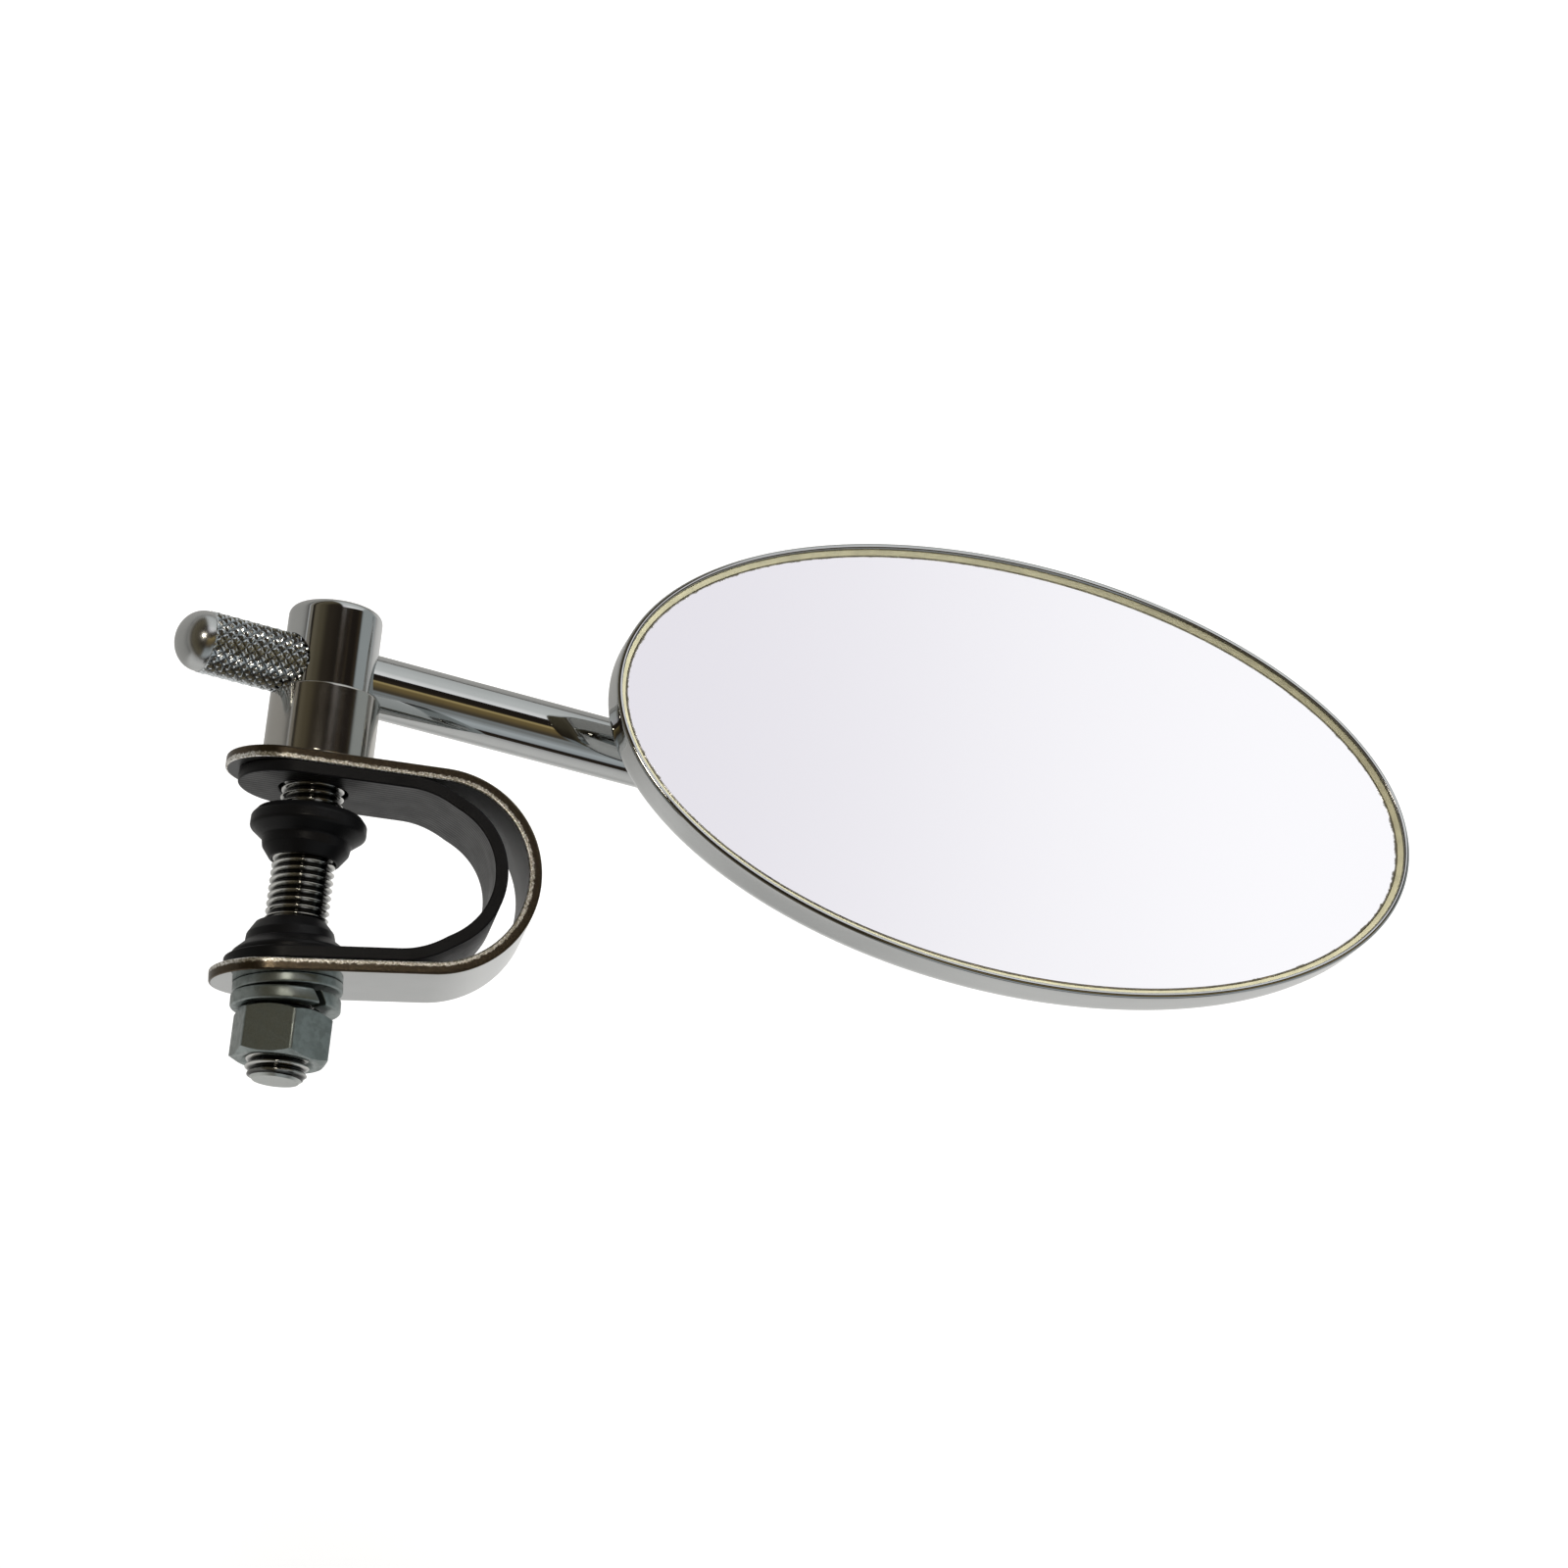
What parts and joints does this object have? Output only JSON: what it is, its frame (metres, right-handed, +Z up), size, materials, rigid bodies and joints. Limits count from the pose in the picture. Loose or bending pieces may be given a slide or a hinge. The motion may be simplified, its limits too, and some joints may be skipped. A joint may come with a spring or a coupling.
{
  "type": "motorcycle mirror",
  "caption": "Oval chrome handlebar mirror on a straight knurled stem, held by an eye bolt in a rubber-lined strap clamp.",
  "frame": {"origin": "centre of the handlebar bore, midway along the clamp strap", "axes": "+X along the stem from the eye bolt to the mirror head, +Y along the eye bolt from its nut to its post, +Z up, out of the side that the glass faces"},
  "size_m": [0.2047, 0.1065, 0.064],
  "materials": {
    "chrome": "polished",
    "rubber": "satin",
    "zinc": "zinc plated",
    "glass": "silvered",
    "seal": "matt"
  },
  "bodies": {
    "clamp": {"clamp_strap": "chrome", "clamp_liner": "rubber", "lower_bush": "rubber"},
    "bolt": {"eye_bolt": "chrome", "saddle_sleeve": "chrome"},
    "stem": {"stem": "chrome"},
    "ball": {"stem_ball": "chrome"},
    "head": {"mirror_glass": "glass", "glass_seal": "seal", "mirror_shell": "chrome", "socket_bracket": "chrome"},
    "bush": {"upper_bush": "rubber"},
    "washers": {"flat_washer": "zinc", "spring_washer": "zinc"},
    "nut": {"hex_nut": "zinc"}
  },
  "joints": [
    {"name": "stem_swivel", "type": "hinge", "parent": "clamp", "child": "bolt", "pos_m": [-0.0172, 0, -0.00626], "axis": [0, 1, 0], "range_deg": [-60, 60]},
    {"name": "stem_slide", "type": "slide", "parent": "bolt", "child": "stem", "axis": [1, 0, 0], "range_m": [-0.012, 0.012]},
    {"name": "head_turn", "type": "hinge", "parent": "stem", "child": "ball", "pos_m": [0.1011, 0.03239, -0.00626], "axis": [1, 0, 0], "range_deg": [-60, 60]},
    {"name": "head_tilt", "type": "hinge", "parent": "ball", "child": "head", "pos_m": [0.1011, 0.03239, -0.00626], "axis": [0.0804, 0.9954, -0.0522], "range_deg": [-2, 14]},
    {"name": "bush_slide", "type": "slide", "parent": "bolt", "child": "bush", "axis": [0, 1, 0], "range_m": [-0.0071, 0.0038]},
    {"name": "washer_slide", "type": "slide", "parent": "clamp", "child": "washers", "axis": [0, -1, 0], "range_m": [0, 0.0025]},
    {"name": "nut_turn", "type": "hinge", "parent": "washers", "child": "nut", "pos_m": [-0.0172, 0, -0.00626], "axis": [0, -1, 0], "range_deg": [0, 720]}
  ],
  "couplings": [
    {"joint": "washer_slide", "follows": "nut_turn", "m_per_rad": 0.00019894}
  ]
}
